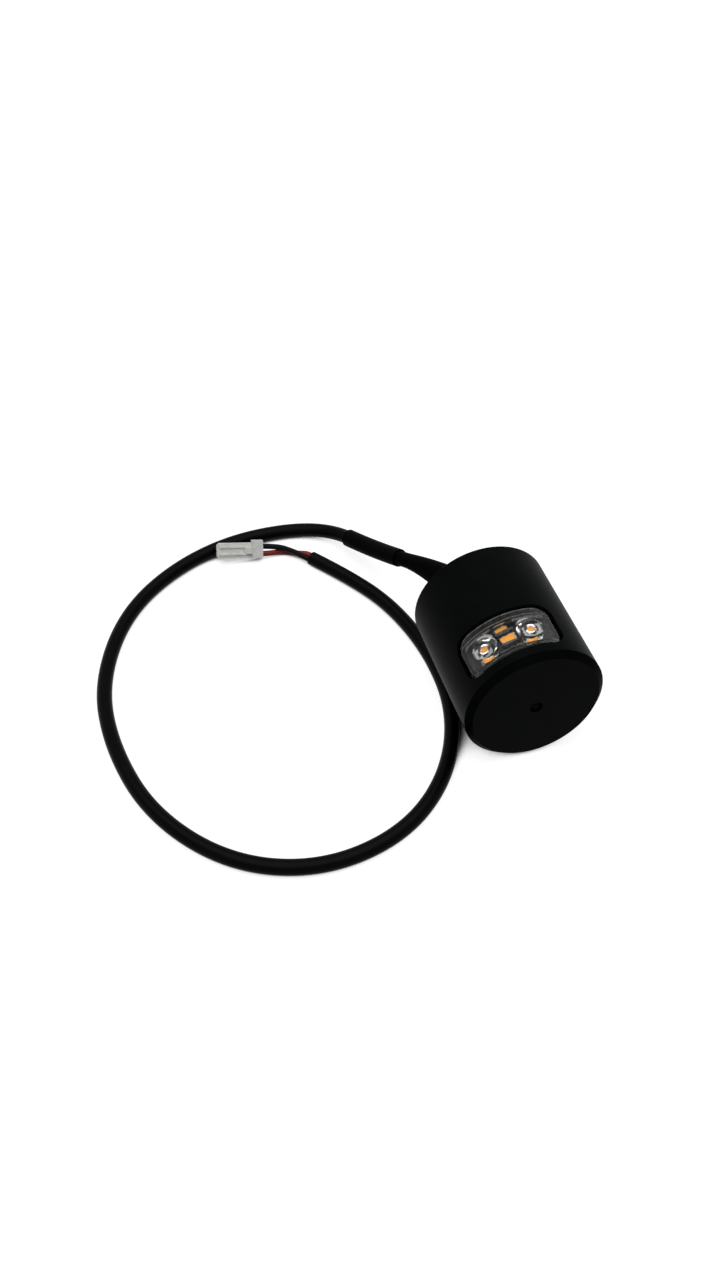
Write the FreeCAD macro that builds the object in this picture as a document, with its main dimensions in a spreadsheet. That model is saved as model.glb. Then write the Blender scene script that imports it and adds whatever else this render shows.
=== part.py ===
import FreeCAD, Part
import math
import os
import re

import Sketcher

# Bar-end indicator lamp with its lead. Millimetres; the lamp lies on its side on the floor, its axis along Y,
# closed end toward -Y, socket toward +Y, +Z up. Pieces of the lamp are drawn with the window facing up and
# rolled about the axis to the resting position; pieces of the lead are drawn where they lie.

Vector = FreeCAD.Vector
doc = FreeCAD.newDocument("Indicator")
sheet = doc.addObject("Spreadsheet::Sheet", "Dimensions")

SIZES = [
    # barrel
    ("lamp_radius", 17.0),
    ("lamp_length", 38.0),
    ("end_chamfer", 1.5),
    ("rim_chamfer", 0.6),
    ("face_wall", 2.4),
    ("shell_wall", 1.8),
    ("ledge_thickness", 0.6),
    ("window_roll_angle", 17.5),
    ("dimple_radius", 1.6),
    ("dimple_depth", 0.8),
    ("nub_radius", 0.55),
    ("nub_drop", 0.3),
    # window and lens
    ("window_width", 23.3),
    ("window_length", 12.2),
    ("window_corner", 3.2),
    ("window_from_end", 10.2),
    ("window_bevel", 0.25),
    ("ledge_width", 1.2),
    ("lens_recess", 0.6),
    ("lens_gap_end", 0.85),
    ("lens_gap_side", 0.3),
    ("lens_corner", 2.8),
    ("bead_height", 0.4),
    ("skirt_clearance", 0.1),
    ("skirt_wall", 0.8),
    ("skirt_depth", 0.8),
    # optics
    ("collimator_spacing", 10.7),
    ("optic_from_end", 10.65),
    ("crown_depth", 1.0),
    ("collimator_top_radius", 3.0),
    ("shoulder_depth", 2.4),
    ("collimator_foot_radius", 2.6),
    ("foot_depth", 4.4),
    ("collimator_cup_radius", 1.5),
    ("cup_depth", 1.8),
    ("cup_dome_radius", 1.3),
    ("block_width", 5.4),
    ("block_length", 7.8),
    ("block_depth", 1.6),
    ("block_bevel", 1.1),
    ("block_offset", 0.45),
    ("block_slot_width", 4.2),
    ("block_slot_length", 0.9),
    ("block_slot_depth", 0.9),
    ("block_slot_offset", 1.1),
    # board
    ("board_corner", 1.0),
    ("board_thickness", 1.0),
    ("board_side_gap", 1.0),
    ("board_end_gap", 0.3),
    ("optic_gap", 0.2),
    ("rail_lap", 2.2),
    ("rail_height", 2.0),
    # light emitters
    ("led_height", 0.8),
    ("phosphor_depth", 0.3),
    ("side_led_size", 3.8),
    ("side_phosphor_size", 2.0),
    ("upper_led_width", 2.4),
    ("upper_led_length", 1.25),
    ("upper_phosphor_width", 2.1),
    ("upper_phosphor_length", 0.95),
    ("upper_led_offset", 4.95),
    ("lower_led_width", 2.8),
    ("lower_led_length", 1.85),
    ("lower_phosphor_width", 2.5),
    ("lower_phosphor_length", 1.55),
    ("lower_led_offset", 1.8),
    ("lower_led_shift", 0.45),
    # board fittings
    ("resistor_width", 1.25),
    ("resistor_length", 2.0),
    ("resistor_height", 0.5),
    ("resistor_spacing", 4.0),
    ("diode_width", 2.8),
    ("diode_length", 1.7),
    ("diode_height", 1.1),
    ("fittings_gap", 1.15),
    ("fittings_inset", 1.3),
    ("screw_inset", 1.1),
    ("screw_shank_radius", 0.5),
    ("screw_head_radius", 0.8),
    ("screw_head_height", 0.6),
    ("screw_depth", 1.6),
    ("screw_clearance", 0.1),
    ("lead_radius", 0.6),
    ("lead_spacing", 2.4),
    ("lead_drop_from_end", 13.0),
    ("solder_radius", 1.0),
    ("solder_height", 0.6),
    # rear plug
    ("plug_front", 3.0),
    ("plug_clearance", 0.05),
    ("plug_chamfer", 0.5),
    ("partition", 2.6),
    ("socket_wall", 3.35),
    ("socket_lead_in", 0.8),
    ("seal_position", 10.0),
    ("seal_groove_width", 1.5),
    ("seal_groove_depth", 1.0),
    # boot and sleeve
    ("boot_wall", 1.0),
    ("boot_hole_clearance", 0.05),
    ("boot_flange_width", 1.7),
    ("boot_flange", 1.2),
    ("boot_step", 1.0),
    ("boot_taper", 1.3),
    ("boot_end_wall", 0.12),
    ("sleeve_wall", 0.5),
    ("sleeve_start_share", 0.53),
    ("jacket_fit", 0.02),
    # cable
    ("cable_radius", 1.9),
    ("jacket_inner_end", 1.5),
    ("wire_radius", 0.75),
    ("core_gap", 0.1),
    ("core_straight", 2.2),
    # connector
    ("connector_length", 12.6),
    ("connector_side_wall", 0.3),
    ("connector_face_wall", 0.45),
    ("connector_bevel", 0.6),
    ("collar_length", 3.0),
    ("collar_rise", 0.7),
    ("latch_length", 2.0),
    ("latch_width", 1.8),
    ("latch_height", 0.9),
    ("rib_width", 0.5),
    ("rib_height", 0.25),
    ("rib_length", 8.0),
    ("contact_pitch", 2.0),
    ("cavity_size", 1.6),
    ("contact_clearance", 0.1),
    ("contact_box_length", 5.0),
    ("contact_wall", 0.25),
    ("crimp_length", 3.0),
    ("contact_start", 2.0),
    ("wire_lead_out", 1.5),
    ("connector_x", -57.0),
    ("connector_y", 69.45),
    ("connector_z", 3.95),
    ("connector_yaw_angle", -6.5),
    ("connector_pitch_angle", 7.0),
    ("connector_roll_angle", 53.0),
]

# Sizes that follow from the ones above.
DERIVED = [
    # radii about the lamp's axis
    ("ledge_radius", "lamp_radius - shell_wall"),
    ("bore_radius", "ledge_radius - ledge_thickness"),
    ("plug_radius", "bore_radius - plug_clearance"),
    ("socket_radius", "plug_radius - socket_wall"),
    ("lens_radius", "lamp_radius - lens_recess"),
    ("skirt_radius", "ledge_radius - skirt_depth"),
    ("trim_radius", "lamp_radius + window_width / 2"),
    # heights above the axis
    ("collimator_crown", "lens_radius - crown_depth"),
    ("collimator_shoulder", "collimator_crown - shoulder_depth"),
    ("collimator_foot", "collimator_crown - foot_depth"),
    ("collimator_cup", "collimator_foot + cup_depth"),
    ("block_foot", "collimator_crown - block_depth"),
    ("board_top", "collimator_foot - optic_gap - led_height"),
    ("board_under", "board_top - board_thickness"),
    ("rail_foot", "board_under - rail_height"),
    # board and its rails
    ("board_width", "2 * (sqrt(bore_radius ^ 2 - board_top ^ 2) - board_side_gap)"),
    ("fittings_front", "optic_from_end + upper_led_offset + upper_led_length / 2 + fittings_gap"),
    ("fittings_from_end", "fittings_front + resistor_length / 2"),
    ("board_length", "fittings_from_end + fittings_inset - face_wall - board_end_gap"),
    ("screw_spacing", "board_width - 2 * screw_inset"),
    ("rail_inner", "board_width / 2 - rail_lap"),
    ("rail_top_reach", "sqrt(ledge_radius ^ 2 - board_under ^ 2)"),
    ("rail_foot_reach", "sqrt(ledge_radius ^ 2 - rail_foot ^ 2)"),
    # lead
    ("boot_radius", "cable_radius + boot_wall"),
    ("boot_flange_radius", "boot_radius + boot_flange_width"),
    ("boot_body_radius", "boot_radius + boot_step"),
    ("boot_end_radius", "cable_radius + boot_end_wall"),
    ("sleeve_radius", "cable_radius + sleeve_wall"),
    ("core_spacing", "2 * wire_radius + core_gap"),
    ("connector_width", "contact_pitch + cavity_size + 2 * connector_side_wall"),
    ("connector_thickness", "cavity_size + 2 * connector_face_wall"),
]
NAMES = [name for name, value in SIZES + DERIVED]
for row, (name, value) in enumerate(SIZES, start=1):
    sheet.set("A%d" % row, name)
    sheet.set("B%d" % row, str(value))
    sheet.setAlias("B%d" % row, name)
for row, (name, text) in enumerate(DERIVED, start=len(SIZES) + 1):
    sheet.set("A%d" % row, name)
    sheet.setAlias("B%d" % row, name)
    sheet.set("B%d" % row, "=" + text)
doc.recompute()

# Points the cable's centre line turns at, from inside the lamp to the free end of the jacket.
CABLE_ROUTE = [
    (0.0, 1.5, 17.0),
    (0.0, 18.0, 17.0),
    (-8.0, 34.6, 15.6),
    (-16.4, 53.6, 7.6),
    (-25.5, 73.4, 1.9),
    (-48.1, 75.6, 1.9),
    (-68.1, 68.7, 1.9),
    (-84.7, 54.4, 1.9),
    (-94.6, 31.9, 1.9),
    (-95.3, 10.4, 1.9),
    (-89.7, -12.2, 1.9),
    (-75.6, -30.2, 1.9),
    (-56.5, -37.7, 1.9),
    (-36.2, -33.8, 1.9),
    (-21.5, -21.0, 1.9),
    (-13.1, -2.4, 1.9),
    (-12.4, 18.1, 1.9),
    (-16.8, 37.5, 1.9),
    (-25.0, 52.0, 1.9),
    (-32.2, 61.4, 1.9),
]


def size(name):
    return float(getattr(sheet, name))


def formula(text):
    """Sheet names in a formula written with the bare aliases."""
    return re.sub(r"[a-z_]+", lambda word: prefixed(word.group()), text)


def prefixed(word):
    return "Dimensions." + word if word in NAMES else word


def bind(thing, target, text):
    thing.setExpression(target, formula(text))


# Sketching helpers

def plane(body, role):
    return [item for item in body.Origin.OriginFeatures if item.Role == role][0]


def new_body(name):
    body = doc.addObject("PartDesign::Body", name)
    body.Label = name
    return body


def new_sketch(body, name, role, height="0", across="0"):
    sketch = body.newObject("Sketcher::SketchObject", name)
    sketch.AttachmentSupport = (plane(body, role), [""])
    sketch.MapMode = "FlatFace"
    bind(sketch, "AttachmentOffset.Base.z", height)
    bind(sketch, "AttachmentOffset.Base.x", across)
    return sketch


def value_of(text):
    """The number a formula stands for now."""
    numbers = re.sub(r"[a-z_]+", lambda word: "(%r)" % size(word.group()), text)
    return FreeCAD.Units.Quantity(numbers).Value


def pin(sketch, item, end, x_text, y_text):
    """Dimensions a point of the sketch from the sketch's origin."""
    for kind, text in (("DistanceX", x_text), ("DistanceY", y_text)):
        number = sketch.addConstraint(Sketcher.Constraint(kind, -1, 1, item, end, value_of(text)))
        bind(sketch, "Constraints[%d]" % number, text)


def polygon(sketch, corners):
    spots = [Vector(value_of(x_text), value_of(y_text), 0) for x_text, y_text in corners]
    first = sketch.GeometryCount
    count = len(spots)
    for index in range(count):
        sketch.addGeometry(Part.LineSegment(spots[index], spots[(index + 1) % count]))
    for index in range(count):
        following = first + (index + 1) % count
        sketch.addConstraint(Sketcher.Constraint("Coincident", first + index, 2, following, 1))
    for index, (x_text, y_text) in enumerate(corners):
        pin(sketch, first + index, 1, x_text, y_text)


def rectangle(sketch, x_text, y_text, wide, tall):
    left, right = "%s - (%s) / 2" % (x_text, wide), "%s + (%s) / 2" % (x_text, wide)
    low, high = "%s - (%s) / 2" % (y_text, tall), "%s + (%s) / 2" % (y_text, tall)
    polygon(sketch, [(left, low), (right, low), (right, high), (left, high)])


def circle(sketch, x_text, y_text, radius):
    spot = Vector(value_of(x_text), value_of(y_text), 0)
    item = sketch.addGeometry(Part.Circle(spot, Vector(0, 0, 1), value_of(radius)))
    pin(sketch, item, 3, x_text, y_text)
    number = sketch.addConstraint(Sketcher.Constraint("Radius", item, value_of(radius)))
    bind(sketch, "Constraints[%d]" % number, radius)


def rounded_rectangle(sketch, y_text, half_wide, half_tall, radius):
    """Rounded rectangle centred on x = 0; the half sizes and the radius are formulas."""
    wide, tall, round_off, middle = (value_of(text) for text in (half_wide, half_tall, radius, y_text))
    inner_x, inner_y = wide - round_off, tall - round_off
    sides = [
        ((-1, -1, "x"), (1, -1, "x")),
        ((1, -1, "y"), (1, 1, "y")),
        ((1, 1, "x"), (-1, 1, "x")),
        ((-1, 1, "y"), (-1, -1, "y")),
    ]

    def spot(mark):
        right, up, along = mark
        x = right * (inner_x if along == "x" else wide)
        y = up * (tall if along == "x" else inner_y)
        return Vector(x, middle + y, 0)

    def texts(mark):
        right, up, along = mark
        x_sign, y_sign = ("-", "+")[right > 0], ("-", "+")[up > 0]
        back = {"+": "-", "-": "+"}
        x_place = "0 %s (%s)" % (x_sign, half_wide)
        y_place = "%s %s (%s)" % (y_text, y_sign, half_tall)
        if along == "x":
            x_place += " %s (%s)" % (back[x_sign], radius)
        else:
            y_place += " %s (%s)" % (back[y_sign], radius)
        return x_place, y_place

    first = sketch.GeometryCount
    for begin, end in sides:
        sketch.addGeometry(Part.LineSegment(spot(begin), spot(end)))
    for side in range(4):
        begin, end = sides[side][1], sides[(side + 1) % 4][0]
        right, up = begin[0], begin[1]
        centre = Vector(right * inner_x, middle + up * inner_y, 0)
        turned = math.atan2(spot(begin).y - centre.y, spot(begin).x - centre.x)
        round_edge = Part.Circle(centre, Vector(0, 0, 1), round_off)
        item = sketch.addGeometry(Part.ArcOfCircle(round_edge, turned, turned + math.pi / 2))
        sketch.addConstraint(Sketcher.Constraint("Coincident", first + side, 2, item, 1))
        sketch.addConstraint(Sketcher.Constraint("Coincident", item, 2, first + (side + 1) % 4, 1))
        number = sketch.addConstraint(Sketcher.Constraint("Radius", item, round_off))
        bind(sketch, "Constraints[%d]" % number, radius)
    for side, (begin, end) in enumerate(sides):
        pin(sketch, first + side, 1, *texts(begin))
        pin(sketch, first + side, 2, *texts(end))


def quarter_round(sketch, y_text, radius):
    """Quarter disc hanging from a height on the sketch's vertical axis."""
    top, reach = value_of(y_text), value_of(radius)
    centre, side, tip = Vector(0, top, 0), Vector(reach, top, 0), Vector(0, top - reach, 0)
    first = sketch.addGeometry(Part.LineSegment(tip, centre))
    second = sketch.addGeometry(Part.LineSegment(centre, side))
    edge = Part.Circle(centre, Vector(0, 0, 1), reach)
    arc = sketch.addGeometry(Part.ArcOfCircle(edge, -math.pi / 2, 0))
    sketch.addConstraint(Sketcher.Constraint("Coincident", first, 2, second, 1))
    sketch.addConstraint(Sketcher.Constraint("Coincident", second, 2, arc, 2))
    sketch.addConstraint(Sketcher.Constraint("Coincident", arc, 1, first, 1))
    pin(sketch, first, 2, "0", y_text)
    pin(sketch, second, 2, radius, y_text)
    pin(sketch, first, 1, "0", "%s - %s" % (y_text, radius))
    number = sketch.addConstraint(Sketcher.Constraint("Radius", arc, reach))
    bind(sketch, "Constraints[%d]" % number, radius)


# Feature helpers

def add_feature(body, kind, name, sketch, removes=False, **settings):
    before = body.Shape.Volume if body.Tip is not None and not body.Shape.isNull() else 0.0
    feature = body.newObject("PartDesign::" + kind, name)
    feature.Profile = sketch
    for key, value in settings.items():
        if isinstance(value, str) and key in ("Length", "Angle"):
            bind(feature, key, value)
        else:
            setattr(feature, key, value)
    sketch.Visibility = False
    doc.recompute()
    after = body.Shape.Volume
    if removes and after >= before - 1e-6 or not removes and after <= before + 1e-6:
        raise ValueError("%s of %s changed nothing: %.3f to %.3f" % (name, body.Label, before, after))
    return feature


def turn_about_y(body, name, corners, removes=False):
    """Profile of (axial place, radius) corners turned about the lamp's axis."""
    sketch = new_sketch(body, name + "_profile", "YZ_Plane")
    polygon(sketch, corners)
    kind = "Groove" if removes else "Revolution"
    return add_feature(body, kind, name, sketch, removes, ReferenceAxis=(sketch, ["H_Axis"]), Angle=360.0)


def keep_between(body, name, inner, outer):
    """Trims a body to the space between two radii about the lamp's axis."""
    cuts = []
    if inner:
        cuts.append(("_inside", "0", inner))
    if outer:
        cuts.append(("_outside", outer, "trim_radius"))
    front, rear = "-lamp_length / 2", "lamp_length / 2"
    for suffix, near, far in cuts:
        turn_about_y(body, name + suffix, [(front, near), (front, far), (rear, far), (rear, near)], True)


def roll_with_lamp(thing):
    """Puts a piece drawn about the origin into the resting lamp."""
    roll = FreeCAD.Rotation(Vector(0, 1, 0), -size("window_roll_angle"))
    thing.Placement = FreeCAD.Placement(Vector(0, 0, size("lamp_radius")), roll)
    bind(thing, "Placement.Base.z", "lamp_radius")
    bind(thing, "Placement.Rotation.Angle", "-window_roll_angle")


def box(name, x_text, y_text, z_text, wide, long, tall):
    """Block centred on x and y and standing on z."""
    block = doc.addObject("Part::Box", name)
    bind(block, "Length", wide)
    bind(block, "Width", long)
    bind(block, "Height", tall)
    bind(block, "Placement.Base.x", "%s - %s / 2" % (x_text, wide))
    bind(block, "Placement.Base.y", "%s - %s / 2" % (y_text, long))
    bind(block, "Placement.Base.z", z_text)
    return block


def post(name, x_text, y_text, z_text, radius, tall):
    rod = doc.addObject("Part::Cylinder", name)
    bind(rod, "Radius", radius)
    bind(rod, "Height", tall)
    bind(rod, "Placement.Base.x", x_text)
    bind(rod, "Placement.Base.y", y_text)
    bind(rod, "Placement.Base.z", z_text)
    return rod


def group(name, members):
    cluster = doc.addObject("Part::Compound", name)
    cluster.Label = name
    cluster.Links = members
    return cluster


NODES = []
FRONT = "-lamp_length / 2"
WINDOW_Y = "window_from_end - lamp_length / 2"
OPTIC_Y = "optic_from_end - lamp_length / 2"
BLOCK_Y = OPTIC_Y + " + block_offset"
LENS_HALF_WIDTH = "window_width / 2 - lens_gap_end"
LENS_HALF_LENGTH = "window_length / 2 - lens_gap_side"
OPENING_HALF_WIDTH = "window_width / 2 - ledge_width"
OPENING_HALF_LENGTH = "window_length / 2 - ledge_width"
OPENING_CORNER = "window_corner - ledge_width"
SCREW_Y = "fittings_from_end - lamp_length / 2"


# Housing: closed cup, window with a ledge for the lens, rails for the board

def make_housing():
    body = new_body("housing")
    inner_face = "face_wall - lamp_length / 2"
    turn_about_y(body, "shell", [
        (FRONT, "0"),
        (FRONT, "lamp_radius - end_chamfer"),
        ("end_chamfer - lamp_length / 2", "lamp_radius"),
        ("lamp_length / 2 - rim_chamfer", "lamp_radius"),
        ("lamp_length / 2", "lamp_radius - rim_chamfer"),
        ("lamp_length / 2", "ledge_radius"),
        (inner_face, "ledge_radius"),
        (inner_face, "0"),
    ])
    window = new_sketch(body, "window_outline", "XY_Plane")
    rounded_rectangle(window, WINDOW_Y, "window_width / 2", "window_length / 2", "window_corner")
    through = "lamp_radius + end_chamfer"
    cut = add_feature(body, "Pocket", "window", window, True, Length=through, Reversed=True)
    bevel_window(body, cut)
    turn_about_y(body, "liner", [
        (inner_face, "bore_radius"),
        (inner_face, "ledge_radius"),
        ("lamp_length / 2", "ledge_radius"),
        ("lamp_length / 2", "bore_radius"),
    ])
    opening = new_sketch(body, "opening_outline", "XY_Plane")
    rounded_rectangle(opening, WINDOW_Y, OPENING_HALF_WIDTH, OPENING_HALF_LENGTH, OPENING_CORNER)
    add_feature(body, "Pocket", "opening", opening, True, Length="lamp_radius", Reversed=True)
    for side, sign in (("left", "-"), ("right", "")):
        rail = new_sketch(body, "rail_%s_outline" % side, "XZ_Plane", height="-plug_front")
        polygon(rail, [
            (sign + "rail_inner", "rail_foot"),
            (sign + "rail_foot_reach", "rail_foot"),
            (sign + "rail_top_reach", "board_under"),
            (sign + "rail_inner", "board_under"),
        ])
        add_feature(body, "Pad", "rail_" + side, rail, Length="plug_front + lamp_length / 2 - face_wall")
        hole = new_sketch(body, "pilot_%s_outline" % side, "XY_Plane", height="board_under")
        circle(hole, sign + "screw_spacing / 2", SCREW_Y, "screw_shank_radius")
        add_feature(body, "Pocket", "pilot_" + side, hole, True, Length="screw_depth")
    dimple = new_sketch(body, "dimple_outline", "XZ_Plane", height="lamp_length / 2")
    circle(dimple, "0", "0", "dimple_radius")
    circle(dimple, "0", "0", "nub_radius")
    add_feature(body, "Pocket", "dimple", dimple, True, Length="dimple_depth")
    nub = new_sketch(body, "nub_outline", "XZ_Plane", height="lamp_length / 2")
    circle(nub, "0", "0", "nub_radius")
    add_feature(body, "Pocket", "nub", nub, True, Length="nub_drop")
    roll_with_lamp(body)
    return body


def bevel_window(body, cut):
    """Small bevel along the window's edge on the outside of the barrel."""
    names = []
    radius, half = size("lamp_radius"), value_of("window_length / 2")
    for number, edge in enumerate(cut.Shape.Edges, start=1):
        spots = edge.discretize(7)
        on_barrel = all(abs(math.hypot(spot.x, spot.z) - radius) < 0.01 for spot in spots)
        at_window = all(abs(spot.y - value_of(WINDOW_Y)) < half + 0.01 for spot in spots)
        if on_barrel and at_window:
            names.append("Edge%d" % number)
    bevel = body.newObject("PartDesign::Chamfer", "window_bevel_edge")
    bevel.Base = (cut, names)
    bind(bevel, "Size", "window_bevel")
    doc.recompute()


# Lens: curved skin, locating skirt, two collimators and the centre block

def make_lens():
    body = new_body("lens")
    skin = new_sketch(body, "skin_outline", "XY_Plane")
    rounded_rectangle(skin, WINDOW_Y, LENS_HALF_WIDTH, LENS_HALF_LENGTH, "lens_corner")
    add_feature(body, "Pad", "skin", skin, Length="lamp_radius")
    keep_between(body, "skin", "ledge_radius", "")
    skirt = new_sketch(body, "skirt_outline", "XY_Plane")
    for inset in ("skirt_clearance", "(skirt_clearance + skirt_wall)"):
        rounded_rectangle(skirt, WINDOW_Y, "%s - %s" % (OPENING_HALF_WIDTH, inset),
                          "%s - %s" % (OPENING_HALF_LENGTH, inset),
                          "%s - %s" % (OPENING_CORNER, inset))
    add_feature(body, "Pad", "skirt", skirt, Length="collimator_crown")
    keep_between(body, "skirt", "skirt_radius", "")
    for side, sign in (("left", "-"), ("right", "")):
        cone = new_sketch(body, "collimator_%s_profile" % side, "XZ_Plane",
                          height="lamp_length / 2 - optic_from_end", across=sign + "collimator_spacing / 2")
        polygon(cone, [
            ("0", "collimator_crown"),
            ("collimator_top_radius", "collimator_crown"),
            ("collimator_top_radius", "collimator_shoulder"),
            ("collimator_foot_radius", "collimator_foot"),
            ("collimator_cup_radius", "collimator_foot"),
            ("collimator_cup_radius", "collimator_cup"),
            ("0", "collimator_cup"),
        ])
        add_feature(body, "Revolution", "collimator_" + side, cone,
                    ReferenceAxis=(cone, ["V_Axis"]), Angle=360.0)
        dome = new_sketch(body, "dome_%s_profile" % side, "XZ_Plane",
                          height="lamp_length / 2 - optic_from_end", across=sign + "collimator_spacing / 2")
        quarter_round(dome, "collimator_cup", "cup_dome_radius")
        add_feature(body, "Revolution", "dome_" + side, dome,
                    ReferenceAxis=(dome, ["V_Axis"]), Angle=360.0)
    block = new_sketch(body, "block_outline", "YZ_Plane", height="-block_width / 2")
    near, far = BLOCK_Y + " - block_length / 2", BLOCK_Y + " + block_length / 2"
    polygon(block, [
        (near, "block_foot"),
        (far + " - block_bevel", "block_foot"),
        (far, "block_foot + block_bevel"),
        (far, "collimator_crown"),
        (near, "collimator_crown"),
    ])
    add_feature(body, "Pad", "block", block, Length="block_width")
    slot = new_sketch(body, "slot_outline", "XY_Plane", height="block_foot")
    rectangle(slot, "0", OPTIC_Y + " + block_slot_offset", "block_slot_width", "block_slot_length")
    add_feature(body, "Pocket", "slot", slot, True, Length="block_slot_depth", Reversed=True)
    keep_between(body, "surface", "", "lens_radius")
    roll_with_lamp(body)
    return body


def make_lens_seal():
    body = new_body("lens_seal")
    bead = new_sketch(body, "bead_outline", "XY_Plane")
    rounded_rectangle(bead, WINDOW_Y, "window_width / 2", "window_length / 2", "window_corner")
    rounded_rectangle(bead, WINDOW_Y, LENS_HALF_WIDTH, LENS_HALF_LENGTH, "lens_corner")
    add_feature(body, "Pad", "bead", bead, Length="lamp_radius")
    keep_between(body, "bead", "ledge_radius", "ledge_radius + bead_height")
    roll_with_lamp(body)
    return body


# Board with its emitters and fittings

def make_board():
    body = new_body("led_board")
    outline = new_sketch(body, "board_outline", "XY_Plane", height="board_under")
    middle = "face_wall + board_end_gap + board_length / 2 - lamp_length / 2"
    rounded_rectangle(outline, middle, "board_width / 2", "board_length / 2", "board_corner")
    for sign in ("-", ""):
        circle(outline, sign + "screw_spacing / 2", SCREW_Y, "screw_shank_radius + screw_clearance")
    add_feature(body, "Pad", "board", outline, Length="board_thickness")
    roll_with_lamp(body)
    return body


def make_led(place, x_text, y_text, block, glow):
    """Emitter body with a recess and the phosphor slab that fills it."""
    body = new_body("led_%s_body" % place)
    outline = new_sketch(body, "led_%s_outline" % place, "XY_Plane", height="board_top")
    rectangle(outline, x_text, y_text, *block)
    add_feature(body, "Pad", "led_%s_block" % place, outline, Length="led_height")
    recess = new_sketch(body, "led_%s_recess_outline" % place, "XY_Plane", height="board_top + led_height")
    rectangle(recess, x_text, y_text, *glow)
    add_feature(body, "Pocket", "led_%s_recess" % place, recess, True, Length="phosphor_depth")
    roll_with_lamp(body)
    chip = new_body("led_%s_phosphor" % place)
    slab = new_sketch(chip, "phosphor_%s_outline" % place, "XY_Plane",
                      height="board_top + led_height - phosphor_depth")
    rectangle(slab, x_text, y_text, *glow)
    add_feature(chip, "Pad", "phosphor_%s_slab" % place, slab, Length="phosphor_depth")
    roll_with_lamp(chip)
    return [body, chip]


def make_fittings():
    pieces = []
    chips = []
    for side, sign in (("left", "-"), ("right", "")):
        chips.append(box("resistor_" + side, sign + "resistor_spacing", SCREW_Y, "board_top",
                         "resistor_width", "resistor_length", "resistor_height"))
    pieces.append(group("resistors", chips))
    diode = box("diode_block", "0", SCREW_Y, "board_top", "diode_width", "diode_length", "diode_height")
    pieces.append(group("diode", [diode]))
    screws = []
    for side, sign in (("left", "-"), ("right", "")):
        x_text = sign + "screw_spacing / 2"
        shank = post("shank_" + side, x_text, SCREW_Y, "board_under - screw_depth",
                     "screw_shank_radius", "screw_depth + board_thickness")
        head = post("head_" + side, x_text, SCREW_Y, "board_top", "screw_head_radius", "screw_head_height")
        screw = doc.addObject("Part::Fuse", "screw_" + side)
        screw.Base = shank
        screw.Tool = head
        screws.append(screw)
    pieces.append(group("board_screws", screws))
    joints = []
    for side, sign in (("left", "-"), ("right", "")):
        x_text, y_text = sign + "lead_spacing / 2", "lead_drop_from_end - lamp_length / 2"
        dome = doc.addObject("Part::Cone", "solder_dome_" + side)
        bind(dome, "Radius1", "lead_radius + contact_clearance")
        bind(dome, "Radius2", "solder_radius")
        bind(dome, "Height", "solder_height")
        bind(dome, "Placement.Base.x", x_text)
        bind(dome, "Placement.Base.y", y_text)
        bind(dome, "Placement.Base.z", "board_under - solder_height")
        core = post("solder_core_" + side, x_text, y_text, "board_under - solder_height", "lead_radius",
                    "solder_height")
        joint = doc.addObject("Part::Cut", "solder_" + side)
        joint.Base = dome
        joint.Tool = core
        joints.append(joint)
    pieces.append(group("solder_joints", joints))
    for piece in pieces:
        roll_with_lamp(piece)
    return pieces


# Rear plug: closes the chamber and forms the socket for the bar end

def make_plug():
    body = new_body("rear_plug")
    back = "plug_front + partition"
    outer, hole = "plug_radius", "boot_radius + boot_hole_clearance"
    floor = "plug_radius - seal_groove_depth"
    near, far = "seal_position - seal_groove_width / 2", "seal_position + seal_groove_width / 2"
    turn_about_y(body, "plug", [
        ("plug_front", hole),
        ("plug_front", outer + " - plug_chamfer"),
        ("plug_front + plug_chamfer", outer),
        (near, outer),
        (near, floor),
        (far, floor),
        (far, outer),
        ("lamp_length / 2", outer),
        ("lamp_length / 2", "socket_radius + socket_lead_in"),
        ("lamp_length / 2 - socket_lead_in", "socket_radius"),
        (back, "socket_radius"),
        (back, hole),
    ])
    roll_with_lamp(body)
    ring = doc.addObject("Part::Torus", "plug_seal")
    ring.Label = "plug_seal"
    thick = "plug_clearance / 2 + seal_groove_depth / 2"
    bind(ring, "Radius2", thick)
    bind(ring, "Radius1", "bore_radius - plug_clearance / 2 - seal_groove_depth / 2")
    ring.Placement = FreeCAD.Placement(Vector(0, 0, 0), FreeCAD.Rotation(Vector(1, 0, 0), 90))
    bind(ring, "Placement.Base.y", "seal_position")
    bind(ring, "Placement.Base.z", "lamp_radius")
    return [body, ring]


# Swept pieces of the lead

def bends(points):
    """Straight runs joined by tangent arcs as large as the runs allow: edges and arc radii."""
    edges, radii = [], []
    here = points[0]
    for before, corner, after in zip(points, points[1:], points[2:]):
        arriving, leaving = corner - before, after - corner
        reach = 0.45 * min(arriving.Length, leaving.Length)
        half_turn = arriving.getAngle(leaving) / 2
        arriving.normalize()
        leaving.normalize()
        start, end = corner - arriving * reach, corner + leaving * reach
        radius = reach / math.tan(half_turn)
        inward = leaving - arriving
        inward.normalize()
        middle = corner + inward * (radius / math.cos(half_turn) - radius)
        edges.append(Part.LineSegment(here, start).toShape())
        edges.append(Part.Arc(start, middle, end).toShape())
        radii.append(radius)
        here = end
    edges.append(Part.LineSegment(here, points[-1]).toShape())
    return edges, radii


def tube(edges, radius):
    """Round solid along joined edges."""
    path = Part.Wire(edges)
    first = edges[0]
    start = first.valueAt(first.FirstParameter)
    return path.makePipeShell([ring(radius, start, first.tangentAt(first.FirstParameter))], True, False)


def solid_feature(name, shape):
    feature = doc.addObject("Part::Feature", name)
    feature.Label = name
    feature.Shape = shape
    return feature


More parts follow.
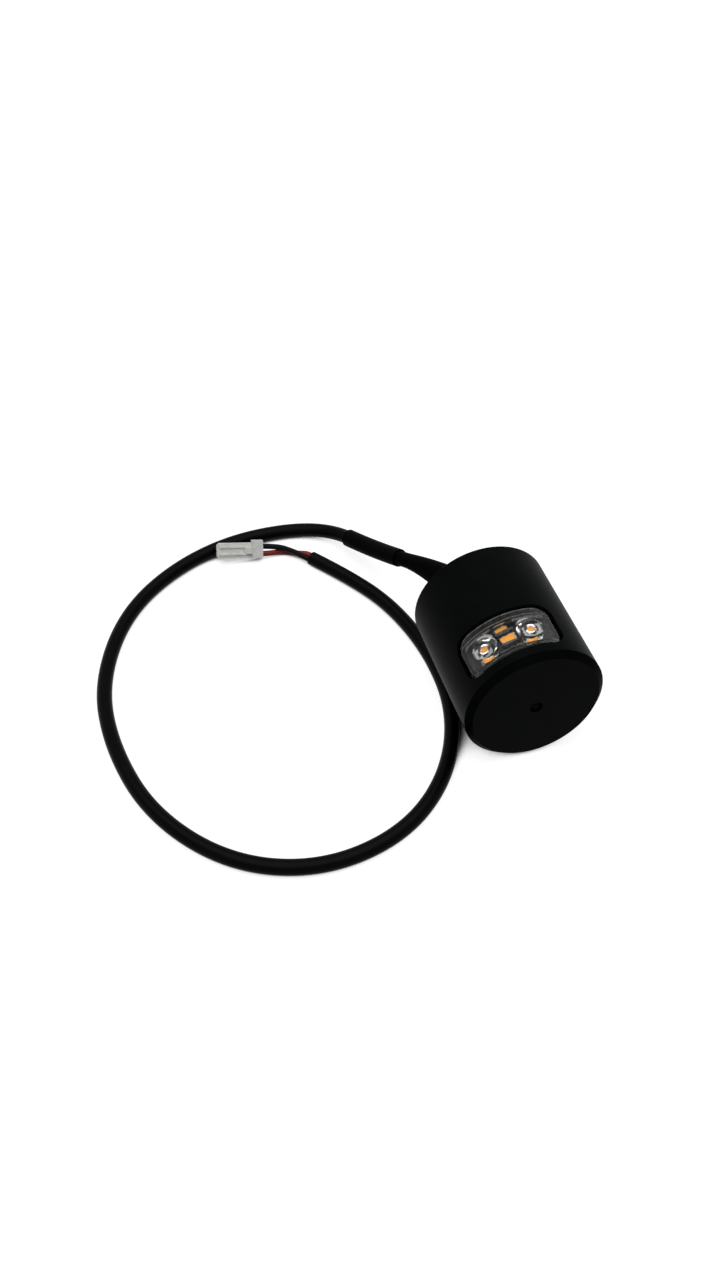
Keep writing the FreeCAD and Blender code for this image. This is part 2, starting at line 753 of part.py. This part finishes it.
def make_tube(name, points, radius):
    edges, radii = bends(points)
    shape = tube(edges, radius)
    length = sum(edge.Length for edge in edges)
    section = math.pi * radius ** 2 * length
    print("%s: length %.1f, radii %s" % (name, length, ", ".join("%.1f" % item for item in radii)))
    if abs(shape.Volume - section) > 0.01 * section:
        raise ValueError("%s does not fill its route" % name)
    return solid_feature(name, shape)


def route_points():
    points = [Vector(*spot) for spot in CABLE_ROUTE]
    axis = size("lamp_radius")
    points[0] = Vector(0, size("jacket_inner_end"), axis)
    points[1] = Vector(0, points[1].y, axis)
    for point in points[4:]:
        point.z = size("cable_radius")
    return points


def boot_tail(short_run, bend, tip):
    """Outer skin of the boot from its collar along the second bend to the tip, narrowing all the way."""
    full, end, taper = size("boot_body_radius"), size("boot_end_radius"), size("boot_taper")
    middle = (short_run.FirstParameter + short_run.LastParameter) / 2
    rings = [ring(full, short_run.valueAt(middle), short_run.tangentAt(middle))]
    steps = 8
    for step in range(steps + 1):
        share = step / steps
        rings.append(ring_on(bend, share, end + (full - end) * (1 - share) ** taper))
    rings.append(ring(end, tip, tip - bend.valueAt(bend.LastParameter)))
    return Part.makeLoft(rings, True, False)


def ring(radius, spot, facing):
    return Part.Wire([Part.makeCircle(radius, spot, facing)])


def ring_on(edge, share, radius):
    place = edge.FirstParameter + share * (edge.LastParameter - edge.FirstParameter)
    return ring(radius, edge.valueAt(place), edge.tangentAt(place))


def make_sleeve_and_boot():
    """Heat-shrink sleeve round one bend of the cable and the rubber boot ahead of it."""
    points = route_points()
    edges, radii = bends(points[:6])
    lead_in, bend_in, short_run, bend_out, run_out, bend_sleeve, run_floor = edges[:7]
    sleeve_start = points[2] + (points[3] - points[2]) * size("sleeve_start_share")
    sleeve_end = (points[3] + points[4]) * 0.5
    first = Part.LineSegment(sleeve_start, run_out.valueAt(run_out.LastParameter)).toShape()
    last = Part.LineSegment(run_floor.valueAt(run_floor.FirstParameter), sleeve_end).toShape()
    sleeve_edges = [first, bend_sleeve, last]
    bore = size("cable_radius") + size("jacket_fit")
    sleeve = tube(sleeve_edges, size("sleeve_radius")).cut(tube(sleeve_edges, bore))

    flange_front = Vector(0, size("plug_front") - size("boot_flange"), size("lamp_radius"))
    stem_line = Part.LineSegment(flange_front, lead_in.valueAt(lead_in.LastParameter)).toShape()
    stem = tube([stem_line, bend_in, short_run], size("boot_radius"))
    flange = Part.makeCylinder(size("boot_flange_radius"), size("boot_flange"), flange_front, Vector(0, 1, 0))
    tail = boot_tail(short_run, bend_out, sleeve_start)
    passage = tube([lead_in, bend_in, short_run, bend_out, run_out], bore)
    boot = stem.fuse([flange, tail]).cut(passage).removeSplitter()
    return [solid_feature("boot", boot), solid_feature("sleeve", sleeve)]


def make_leads():
    pieces = []
    drop = value_of("lead_drop_from_end - lamp_length / 2")
    for name, sign in (("lead_red", -1), ("lead_black", 1)):
        x = sign * size("lead_spacing") / 2
        start = Vector(x, size("jacket_inner_end"), 0)
        points = [start, Vector(x, drop, 0), Vector(x, drop, size("board_under"))]
        piece = make_tube(name, points, size("lead_radius"))
        roll_with_lamp(piece)
        pieces.append(piece)
    return pieces


# Connector on the cable's free end

def connector_placement():
    place = Vector(size("connector_x"), size("connector_y"), size("connector_z"))
    angles = [size("connector_%s_angle" % turn) for turn in ("yaw", "pitch", "roll")]
    return FreeCAD.Placement(place, FreeCAD.Rotation(*angles))


def put_on_connector(thing):
    thing.Placement = connector_placement()
    for axis in "xyz":
        bind(thing, "Placement.Base." + axis, "connector_" + axis)


def make_connector():
    body = new_body("connector_housing")
    thick, wide = "connector_thickness", "connector_width"
    outline = new_sketch(body, "shroud_outline", "YZ_Plane")
    rectangle(outline, "0", "0", wide, thick)
    add_feature(body, "Pad", "shroud", outline, Length="connector_length")
    nose = new_sketch(body, "nose_outline", "XY_Plane", height="-connector_thickness / 2")
    for sign, inward in (("-", "+"), ("", "-")):
        edge = sign + "connector_width / 2"
        inner = "%s %s connector_bevel" % (edge, inward)
        polygon(nose, [("0", edge), ("connector_bevel", edge), ("0", inner)])
    add_feature(body, "Pocket", "nose", nose, True, Length="connector_thickness", Reversed=True)
    collar = new_sketch(body, "collar_outline", "YZ_Plane", height="connector_length - collar_length")
    side, flange = "-connector_width / 2", "connector_width / 2 + collar_rise"
    base, top = "-connector_thickness / 2", "connector_thickness / 2 + collar_rise"
    polygon(collar, [(side, base), (flange, base), (flange, top), (side, top)])
    add_feature(body, "Pad", "collar", collar, Length="collar_length")
    latch = new_sketch(body, "latch_outline", "XZ_Plane", height="-latch_width / 2")
    start, surface = "connector_length - collar_length - latch_length", "connector_thickness / 2"
    polygon(latch, [
        (start, surface + " - rib_height"),
        ("connector_length - collar_length", surface + " - rib_height"),
        ("connector_length - collar_length", surface + " + latch_height"),
        ("connector_length - collar_length - rib_width", surface + " + latch_height"),
        (start, surface + " + rib_height"),
    ])
    add_feature(body, "Pad", "latch", latch, Length="latch_width")
    ribs = new_sketch(body, "rib_outline", "XY_Plane", height="connector_thickness / 2 - rib_height")
    for sign in ("-", ""):
        low = "%scontact_pitch / 2 - rib_width / 2" % sign
        high = "%scontact_pitch / 2 + rib_width / 2" % sign
        near, far = "connector_bevel", "rib_length"
        polygon(ribs, [(near, low), (far, low), (far, high), (near, high)])
    add_feature(body, "Pad", "ribs", ribs, Length="rib_height * 2")
    cavities = new_sketch(body, "cavity_outline", "YZ_Plane")
    for sign in ("-", ""):
        rectangle(cavities, sign + "contact_pitch / 2", "0", "cavity_size", "cavity_size")
    add_feature(body, "Pocket", "cavities", cavities, True, Length="connector_length", Reversed=True)
    put_on_connector(body)
    return body


def make_terminal(name, sign):
    """Contact box with a crimp that meets the wire inside the cavity."""
    body = new_body(name)
    middle = sign + "contact_pitch / 2"
    seat = "-contact_clearance / 2"
    outline = new_sketch(body, name + "_box_outline", "YZ_Plane", height="contact_start")
    rectangle(outline, middle, seat, "cavity_size - contact_clearance", "cavity_size - contact_clearance")
    rectangle(outline, middle, seat, "cavity_size - contact_clearance - contact_wall * 2",
              "cavity_size - contact_clearance - contact_wall * 2")
    add_feature(body, "Pad", name + "_box", outline, Length="contact_box_length")
    crimp = new_sketch(body, name + "_crimp_outline", "YZ_Plane",
                       height="contact_start + contact_box_length")
    circle(crimp, middle, seat, "cavity_size / 2 - contact_clearance / 2")
    add_feature(body, "Pad", name + "_crimp", crimp, Length="crimp_length")
    put_on_connector(body)
    return body


def make_wires():
    """Cores from the jacket's end, crossing once on the way to the connector."""
    jacket = route_points()
    end, before = jacket[-1], jacket[-2]
    along = end - before
    along.normalize()
    beside = Vector(along.y, -along.x, 0)
    place = connector_placement()
    depth = value_of("contact_start + contact_box_length + crimp_length")
    mouth = value_of("connector_length + wire_lead_out")
    turns = {
        "wire_red": (-1, 1, [(-34.9, 65.5, 0.9), (-39.1, 67.6, 0.8)]),
        "wire_black": (1, -1, [(-36.2, 64.6, 2.5), (-39.2, 67.5, 2.5)]),
    }
    pieces = []
    for name, (cavity, side, middle) in turns.items():
        start = end + beside * (side * size("core_spacing") / 2)
        points = [start, start + along * size("core_straight")]
        points += [Vector(*spot) for spot in middle]
        across = cavity * size("contact_pitch") / 2
        points.append(place.multVec(Vector(mouth, across, 0)))
        points.append(place.multVec(Vector(depth, across, 0)))
        pieces.append(make_tube(name, points, size("wire_radius")))
    return pieces


def make_all():
    NODES.append(make_housing())
    NODES.append(make_lens())
    NODES.append(make_lens_seal())
    NODES.append(make_board())
    for place, sign in (("left", "-"), ("right", "")):
        NODES.extend(make_led(place, sign + "collimator_spacing / 2", OPTIC_Y,
                              ("side_led_size", "side_led_size"),
                              ("side_phosphor_size", "side_phosphor_size")))
    NODES.extend(make_led("upper", "0", OPTIC_Y + " + upper_led_offset",
                          ("upper_led_width", "upper_led_length"),
                          ("upper_phosphor_width", "upper_phosphor_length")))
    NODES.extend(make_led("lower", "lower_led_shift", OPTIC_Y + " + lower_led_offset",
                          ("lower_led_width", "lower_led_length"),
                          ("lower_phosphor_width", "lower_phosphor_length")))
    NODES.extend(make_fittings())
    NODES.extend(make_leads())
    NODES.extend(make_plug())
    NODES.extend(make_sleeve_and_boot())
    NODES.append(make_tube("cable", route_points(), size("cable_radius")))
    NODES.extend(make_wires())
    NODES.append(make_connector())
    NODES.append(make_terminal("terminal_red", "-"))
    NODES.append(make_terminal("terminal_black", ""))


make_all()
doc.recompute()
for item in doc.Objects:
    if "Invalid" in item.State or "Error" in item.State:
        raise ValueError("%s is not sound: %s" % (item.Label, item.State))
os.makedirs("parts", exist_ok=True)
for node in NODES:
    if node.Shape.isNull() or not node.Shape.isValid():
        raise ValueError("%s has no sound shape" % node.Label)
    node.Shape.exportStep("parts/%s.step" % node.Label)
    print("%s: %.2f mm3" % (node.Label, node.Shape.Volume))
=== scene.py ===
import bpy
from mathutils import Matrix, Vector


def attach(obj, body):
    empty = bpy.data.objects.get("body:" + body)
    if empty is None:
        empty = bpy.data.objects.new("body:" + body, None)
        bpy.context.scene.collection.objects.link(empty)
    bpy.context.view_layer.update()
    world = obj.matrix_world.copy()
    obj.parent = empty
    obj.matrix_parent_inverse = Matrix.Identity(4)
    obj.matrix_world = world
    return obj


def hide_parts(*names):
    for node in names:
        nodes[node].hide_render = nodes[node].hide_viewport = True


# Bar-end indicator lamp with its lead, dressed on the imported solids. Metres, in the row frame.

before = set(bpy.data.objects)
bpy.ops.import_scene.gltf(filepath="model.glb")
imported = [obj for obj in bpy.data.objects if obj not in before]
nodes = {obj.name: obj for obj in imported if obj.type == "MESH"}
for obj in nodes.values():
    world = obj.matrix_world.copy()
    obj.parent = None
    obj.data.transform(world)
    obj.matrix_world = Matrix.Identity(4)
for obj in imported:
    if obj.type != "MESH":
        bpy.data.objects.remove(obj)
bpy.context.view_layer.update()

MM = 0.001
CAMERA_PLACE = Vector((-93.1, -190.67, 234.6)) * MM
CAMERA_AIM = Vector((-27.884, 29.21, 0.0)) * MM
CAMERA_LENS = 35.504
CAMERA_SENSOR = 36.0
CAMERA_NEAREST = 10 * MM

SOFTBOX_PLACE = (-0.05, 0.0, 1.0)
SOFTBOX_SIZE = 1.3
SOFTBOX_POWER = 13.0
WHITE = (1.0, 1.0, 1.0, 1.0)
ROOM_GREY = (0.08, 0.08, 0.08, 1.0)
FLOOR_GREY = (0.3, 0.3, 0.3, 1.0)
FLOOR_SIZE = 8.0
FLOOR_DROP = 0.05 * MM
# The floor's own white near the part, and the distances over which it rises to 1.
FLOOR_GLOW = 0.86
FADE_SPAN = (0.3, 1.2)
# How open the floor is, from a crevice with no white of its own to full white, and how far it is tested;
# the dimmed white is painted shade.
CREVICE_SHADE_SPAN = (0.15, 0.34)
CREVICE_REACH = 30 * MM
# Most bounces after which a ray still finds the white background. Past them it finds the dim room, so that
# the white doesn't light the inside of the lamp.
MOST_BOUNCES = 2.0

# The lens's middle along the barrel, and how far from it the walls of its front and rear edges begin.
LENS_MIDDLE = -8.8 * MM
LENS_EDGE = 4.3 * MM
# How far from the lens's middle its painted sheen, a faint grey film, begins, and where it is full.
PAINTED_SHEEN_SPAN = (3.2 * MM, 5.2 * MM)
# The part of the end bevel's normal along the barrel, at 45 degrees.
BEVEL_FACING = -0.707

CABLE_DIAMETER = 3.8 * MM
# Control points of the cable's line, the route's own points, from inside the lamp to the jacket's end.
CABLE_ROUTE = [
    (0.0, 0.0015, 0.017),
    (0.0, 0.018, 0.017),
    (-0.008, 0.0346, 0.0156),
    (-0.0164, 0.0536, 0.0076),
    (-0.0255, 0.0734, 0.0019),
    (-0.0481, 0.0756, 0.0019),
    (-0.0681, 0.0687, 0.0019),
    (-0.0847, 0.0544, 0.0019),
    (-0.0946, 0.0319, 0.0019),
    (-0.0953, 0.0104, 0.0019),
    (-0.0897, -0.0122, 0.0019),
    (-0.0756, -0.0302, 0.0019),
    (-0.0565, -0.0377, 0.0019),
    (-0.0362, -0.0338, 0.0019),
    (-0.0215, -0.021, 0.0019),
    (-0.0131, -0.0024, 0.0019),
    (-0.0124, 0.0181, 0.0019),
    (-0.0168, 0.0375, 0.0019),
    (-0.025, 0.052, 0.0019),
    (-0.0322, 0.0614, 0.0019),
]


# Node materials

# The range that most of a noise pattern lies in.
PATTERN_LOW, PATTERN_HIGH = 0.3, 0.7
# Darkest and lightest shade of the black pieces of the lead.
LEAD_BLACKS = ((0.0005, 0.0006, 0.0005), (0.0009, 0.0011, 0.001))


class Nodes:
    """Short forms for wiring one node tree."""

    def __init__(self, tree):
        self.tree = tree

    def add(self, kind, **settings):
        node = self.tree.nodes.new(kind)
        for key, value in settings.items():
            setattr(node, key, value)
        return node

    def feed(self, source, target):
        self.tree.links.new(source, target)

    def math(self, operation, *terms):
        """One step of arithmetic on patterns and numbers."""
        node = self.add("ShaderNodeMath", operation=operation)
        for socket, term in zip(node.inputs, terms):
            if isinstance(term, float):
                socket.default_value = term
            else:
                self.feed(term, socket)
        return node.outputs[0]

    def spread(self, source, low, high, start=PATTERN_LOW, end=PATTERN_HIGH):
        """A pattern's range from start to end stretched between two values."""
        node = self.add("ShaderNodeMapRange")
        self.feed(source, node.inputs["Value"])
        for socket, value in (("From Min", start), ("From Max", end), ("To Min", low), ("To Max", high)):
            node.inputs[socket].default_value = value
        return node.outputs["Result"]

    def mix(self, cover, under, over):
        """One shader over another, from none at 0 to full at 1."""
        choice = self.add("ShaderNodeMixShader")
        self.feed(cover, choice.inputs["Fac"])
        self.feed(under, choice.inputs[1])
        self.feed(over, choice.inputs[2])
        return choice.outputs[0]

    def background_seen(self):
        """1 for rays from the camera or off a glossy or clear face, within a few bounces, else 0."""
        rays = self.add("ShaderNodeLightPath").outputs
        off_face = self.math("MAXIMUM", rays["Is Glossy Ray"], rays["Is Transmission Ray"])
        shown = self.math("MAXIMUM", rays["Is Camera Ray"], off_face)
        early = self.math("LESS_THAN", rays["Ray Depth"], MOST_BOUNCES + 0.5)
        return self.math("MULTIPLY", shown, early)


class Finish(Nodes):
    """A material under construction: one principled shader fed by patterns in object space."""

    def __init__(self, name, **sockets):
        self.material = bpy.data.materials.new("finish_" + name)
        self.material.use_nodes = True
        super().__init__(self.material.node_tree)
        self.shader = self.tree.nodes["Principled BSDF"]
        for socket, value in sockets.items():
            self.shader.inputs[socket.replace("_", " ")].default_value = value
        self.coords = self.add("ShaderNodeTexCoord")
        self.place = self.coords.outputs["Object"]

    def noise(self, grain, detail=2.0, stretch=(1, 1, 1)):
        """Cloudy pattern from 0 to 1 with lumps about one grain across."""
        mapping = self.add("ShaderNodeMapping")
        mapping.inputs["Scale"].default_value = stretch
        self.feed(self.place, mapping.inputs["Vector"])
        pattern = self.add("ShaderNodeTexNoise")
        pattern.inputs["Scale"].default_value = 1 / grain
        pattern.inputs["Detail"].default_value = detail
        self.feed(mapping.outputs["Vector"], pattern.inputs["Vector"])
        return pattern.outputs["Fac"]

    def part_of(self, vector, axis):
        """A vector's part along one axis."""
        parts = self.add("ShaderNodeSeparateXYZ")
        self.feed(vector, parts.inputs[0])
        return parts.outputs[axis]

    def facing(self, axis, along, width):
        """1 where the surface's own normal has about this part along an axis, else 0."""
        return self.math("COMPARE", self.part_of(self.coords.outputs["Normal"], axis), along, width)

    def tint(self, source, dark, light):
        """Base colour that drifts between two shades with a pattern."""
        ramp = self.add("ShaderNodeValToRGB")
        stops = ((PATTERN_LOW, dark), (PATTERN_HIGH, light))
        for stop, (position, shade) in zip(ramp.color_ramp.elements, stops):
            stop.position = position
            stop.color = (*shade, 1.0)
        self.feed(source, ramp.inputs["Fac"])
        self.feed(ramp.outputs["Color"], self.shader.inputs["Base Color"])

    def gloss(self, source, low, high):
        """Roughness that drifts between two values with a pattern."""
        self.feed(self.spread(source, low, high), self.shader.inputs["Roughness"])

    def relief(self, source, depth):
        """Fine surface relief of the given depth."""
        bump = self.add("ShaderNodeBump")
        bump.inputs["Distance"].default_value = depth
        self.feed(source, bump.inputs["Height"])
        self.feed(bump.outputs["Normal"], self.shader.inputs["Normal"])

    def paint_sheen(self, cover, shade):
        """Grey diffuse layer over the shader as painted sheen, from none at 0 to full at 1."""
        sheen_diffuse = self.add("ShaderNodeBsdfDiffuse")
        self.feed(shade, sheen_diffuse.inputs["Color"])
        sheened = self.mix(cover, self.shader.outputs[0], sheen_diffuse.outputs[0])
        self.feed(sheened, self.tree.nodes["Material Output"].inputs["Surface"])


def black_housing():
    """Satin moulding; the bevel round the closed end has less shine, painted shade that keeps it dark."""
    finish = Finish("black_housing")
    finish.tint(finish.noise(5 * MM), (0.0013, 0.0018, 0.0016), (0.002, 0.0026, 0.0023))
    # Painted shade: less shine on the bevel, picked by its facing.
    bevel = finish.facing("Y", BEVEL_FACING, 0.1)
    finish.feed(finish.spread(bevel, 0.011, 0.003, 0.0, 1.0), finish.shader.inputs["Specular IOR Level"])
    grain = finish.noise(0.22 * MM)
    finish.gloss(grain, 0.36, 0.46)
    finish.relief(grain, 0.012 * MM)
    return finish.material


def clear_lens():
    """Clear coated moulding under a dull grey film of painted sheen, full on its front and rear walls
    where the sealant wets them, and faint near its front and rear.
    """
    finish = Finish("clear_lens", Transmission_Weight=1.0, IOR=1.585, Specular_Tint=(0.1, 0.1, 0.1, 1.0))
    finish.tint(finish.noise(4 * MM), (0.95, 0.96, 0.955), (0.985, 0.99, 0.985))
    finish.gloss(finish.noise(0.6 * MM), 0.0, 0.03)
    finish.relief(finish.noise(1.0 * MM, detail=1.0), 0.04 * MM)
    away = finish.math("ABSOLUTE", finish.math("SUBTRACT", finish.part_of(finish.place, "Y"), LENS_MIDDLE))
    # Painted sheen: the grey film covers the front and rear walls.
    wall = finish.math("MAXIMUM", finish.facing("Y", 1.0, 0.4), finish.facing("Y", -1.0, 0.4))
    sheened_walls = finish.math("MULTIPLY", wall, finish.math("GREATER_THAN", away, LENS_EDGE))
    # Painted sheen: a faint grey film near the lens's front and rear.
    painted_sheen = finish.spread(away, 0.0, 0.012, *PAINTED_SHEEN_SPAN)
    finish.paint_sheen(finish.math("MAXIMUM", sheened_walls, painted_sheen), finish.spread(finish.noise(0.8 * MM), 0.35, 0.8))
    return finish.material


def black_sealant():
    finish = Finish("black_sealant", Specular_IOR_Level=0.006)
    finish.tint(finish.noise(1.2 * MM), (0.0003, 0.0004, 0.0003), (0.0006, 0.0008, 0.0007))
    finish.gloss(finish.noise(0.5 * MM), 0.4, 0.6)
    finish.relief(finish.noise(0.8 * MM), 0.03 * MM)
    return finish.material


def dark_board():
    finish = Finish("dark_board", Specular_IOR_Level=0.5)
    weave = finish.noise(0.5 * MM)
    finish.tint(finish.noise(3 * MM), (0.006, 0.008, 0.007), (0.011, 0.013, 0.012))
    finish.gloss(weave, 0.3, 0.42)
    finish.relief(weave, 0.006 * MM)
    return finish.material


def emitter_white():
    finish = Finish("emitter_white", Specular_IOR_Level=0.5)
    finish.tint(finish.noise(0.5 * MM), (0.74, 0.74, 0.7), (0.84, 0.84, 0.8))
    finish.gloss(finish.noise(0.3 * MM), 0.25, 0.4)
    finish.relief(finish.noise(0.15 * MM), 0.003 * MM)
    return finish.material


def amber_phosphor():
    # The chips are unlit: their amber emission is a painted glow that keeps them bright behind the lens.
    finish = Finish("amber_phosphor", Specular_IOR_Level=0.4, Emission_Strength=0.65)
    finish.shader.inputs["Emission Color"].default_value = (0.95, 0.36, 0.03, 1.0)
    finish.tint(finish.noise(0.25 * MM), (0.72, 0.26, 0.02), (0.86, 0.36, 0.04))
    finish.gloss(finish.noise(0.3 * MM), 0.25, 0.4)
    finish.relief(finish.noise(0.12 * MM), 0.004 * MM)
    return finish.material


def chip_black():
    finish = Finish("chip_black", Specular_IOR_Level=0.4)
    grain = finish.noise(0.1 * MM)
    finish.tint(grain, (0.006, 0.006, 0.006), (0.012, 0.012, 0.012))
    finish.gloss(grain, 0.45, 0.6)
    finish.relief(grain, 0.004 * MM)
    return finish.material


def metal(name, dark, light, low, high):
    """Plated metal with short scratches."""
    finish = Finish(name, Metallic=1.0)
    scratches = finish.noise(0.4 * MM, detail=3.0, stretch=(8, 1, 1))
    finish.tint(finish.noise(0.8 * MM), dark, light)
    finish.gloss(scratches, low, high)
    finish.relief(scratches, 0.003 * MM)
    return finish.material


def screw_steel():
    return metal("screw_steel", (0.5, 0.5, 0.5), (0.62, 0.62, 0.61), 0.25, 0.4)


def solder_tin():
    return metal("solder_tin", (0.6, 0.6, 0.58), (0.74, 0.74, 0.72), 0.18, 0.32)


def contact_brass():
    return metal("contact_brass", (0.66, 0.58, 0.42), (0.78, 0.7, 0.52), 0.2, 0.35)


def insulation(name, dark, light):
    """Soft vinyl over a core."""
    finish = Finish(name, Specular_IOR_Level=0.05)
    finish.tint(finish.noise(1.5 * MM), dark, light)
    finish.gloss(finish.noise(0.4 * MM), 0.38, 0.5)
    finish.relief(finish.noise(0.5 * MM), 0.006 * MM)
    return finish.material


def red_insulation():
    return insulation("red_insulation", (0.2, 0.025, 0.024), (0.28, 0.04, 0.036))


def black_insulation():
    return insulation("black_insulation", (0.0008, 0.001, 0.0009), (0.0015, 0.0017, 0.0016))


def black_rubber():
    finish = Finish("black_rubber", Specular_IOR_Level=0.008)
    grain = finish.noise(0.2 * MM)
    finish.tint(finish.noise(2 * MM), *LEAD_BLACKS)
    finish.gloss(grain, 0.5, 0.64)
    finish.relief(grain, 0.012 * MM)
    return finish.material


def black_sleeve():
    finish = Finish("black_sleeve", Specular_IOR_Level=0.012)
    finish.tint(finish.noise(2 * MM), *LEAD_BLACKS)
    finish.gloss(finish.noise(0.5 * MM), 0.42, 0.56)
    finish.relief(finish.noise(2.2 * MM, detail=3.0), 0.08 * MM)
    return finish.material


def black_jacket():
    finish = Finish("black_jacket", Specular_IOR_Level=0.03)
    finish.tint(finish.noise(6 * MM), *LEAD_BLACKS)
    finish.gloss(finish.noise(0.7 * MM), 0.26, 0.36)
    finish.relief(finish.noise(1.6 * MM), 0.02 * MM)
    return finish.material


def white_nylon():
    finish = Finish("white_nylon", Specular_IOR_Level=0.5,
                    Subsurface_Weight=0.25, Subsurface_Scale=0.6 * MM)
    finish.tint(finish.noise(1.5 * MM), (0.58, 0.58, 0.55), (0.7, 0.7, 0.67))
    finish.gloss(finish.noise(0.4 * MM), 0.35, 0.5)
    finish.relief(finish.noise(0.5 * MM), 0.008 * MM)
    return finish.material


FINISHES = {
    make.__name__: make
    for make in (black_housing, clear_lens, black_sealant, dark_board, emitter_white, amber_phosphor,
                 chip_black, screw_steel, solder_tin, contact_brass, red_insulation, black_insulation,
                 black_rubber, black_sleeve, black_jacket, white_nylon)
}


def dress_nodes():
    """Gives each solid the finish of its material slot."""
    made = {}
    for node in nodes.values():
        slot = node.data.materials[0].name
        if slot not in made:
            made[slot] = FINISHES[slot]()
        node.data.materials[0] = made[slot]
    return made


# Lead

def smooth_line(name, route, diameter):
    """Round cord along one open spline with the route's points as its control points."""
    curve = bpy.data.curves.new(name, "CURVE")
    curve.dimensions = "3D"
    curve.bevel_depth = diameter / 2
    curve.bevel_resolution = 8
    curve.use_fill_caps = True
    line = curve.splines.new("NURBS")
    line.points.add(len(route) - 1)
    for point, spot in zip(line.points, route):
        point.co = (*spot, 1.0)
    line.order_u = 3
    line.use_endpoint_u = True
    line.resolution_u = 16
    cord = bpy.data.objects.new(name, curve)
    bpy.context.scene.collection.objects.link(cord)
    return cord


def lay_cable(finish):
    """The smooth cable in place of its plain solid."""
    cable = smooth_line("cable_jacket", CABLE_ROUTE, CABLE_DIAMETER)
    cable.data.materials.append(finish)
    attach(cable, "root")
    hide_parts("cable")


# Studio

def make_floor():
    """Pale floor that keeps the part's shadow, with painted shade in the crevices by the part, and runs
    out into the white background.
    """
    bpy.ops.mesh.primitive_plane_add(size=FLOOR_SIZE, location=(0.0, 0.0, -FLOOR_DROP))
    floor = bpy.context.object
    floor.name = "studio_floor"
    material = bpy.data.materials.new("studio_white")
    material.use_nodes = True
    material.node_tree.nodes.clear()
    studio = Nodes(material.node_tree)
    pale = studio.add("ShaderNodeBsdfDiffuse")
    pale.inputs["Color"].default_value = FLOOR_GREY
    reach = studio.add("ShaderNodeVectorMath", operation="LENGTH")
    studio.feed(studio.add("ShaderNodeTexCoord").outputs["Object"], reach.inputs[0])
    fade = studio.spread(reach.outputs["Value"], FLOOR_GLOW, 1.0, *FADE_SPAN)
    # Painted shade: the floor's own white is dimmed where the part crowds it, as a dark contact shade.
    crevice_ao = studio.add("ShaderNodeAmbientOcclusion", samples=16)
    crevice_ao.inputs["Distance"].default_value = CREVICE_REACH
    painted_shade_factor = studio.spread(crevice_ao.outputs["AO"], 0.0, 1.0, *CREVICE_SHADE_SPAN)
    white = studio.add("ShaderNodeEmission")
    studio.feed(studio.math("MULTIPLY", fade, painted_shade_factor), white.inputs["Strength"])
    lit = studio.add("ShaderNodeAddShader")
    studio.feed(pale.outputs[0], lit.inputs[0])
    studio.feed(white.outputs[0], lit.inputs[1])
    seen = studio.mix(studio.background_seen(), pale.outputs[0], lit.outputs[0])
    studio.feed(seen, studio.add("ShaderNodeOutputMaterial").inputs["Surface"])
    floor.data.materials.append(material)


def make_lights():
    """One wide soft light overhead and a dim room, with white behind it all."""
    lamp = bpy.data.lights.new("overhead_softbox", "AREA")
    lamp.shape = "SQUARE"
    lamp.size = SOFTBOX_SIZE
    lamp.energy = SOFTBOX_POWER
    overhead = bpy.data.objects.new("overhead_softbox", lamp)
    overhead.location = SOFTBOX_PLACE
    bpy.context.scene.collection.objects.link(overhead)

    world = bpy.data.worlds.new("studio_room")
    world.use_nodes = True
    bpy.context.scene.world = world
    studio = Nodes(world.node_tree)
    room = studio.tree.nodes["Background"]
    room.inputs["Color"].default_value = ROOM_GREY
    backdrop = studio.add("ShaderNodeBackground")
    backdrop.inputs["Color"].default_value = WHITE
    seen = studio.mix(studio.background_seen(), room.outputs[0], backdrop.outputs[0])
    studio.feed(seen, studio.tree.nodes["World Output"].inputs["Surface"])


def make_camera():
    """The photo's camera, as fitted to the barrel."""
    lens = bpy.data.cameras.new("photo_camera")
    lens.lens = CAMERA_LENS
    lens.sensor_width = CAMERA_SENSOR
    lens.clip_start = CAMERA_NEAREST
    camera = bpy.data.objects.new("photo_camera", lens)
    camera.location = CAMERA_PLACE
    camera.rotation_mode = "QUATERNION"
    camera.rotation_quaternion = (CAMERA_AIM - CAMERA_PLACE).to_track_quat("-Z", "Y")
    bpy.context.scene.collection.objects.link(camera)
    bpy.context.scene.camera = camera


made = dress_nodes()
lay_cable(made["black_jacket"])
make_floor()
make_lights()
make_camera()
bpy.context.scene.view_settings.view_transform = "Standard"
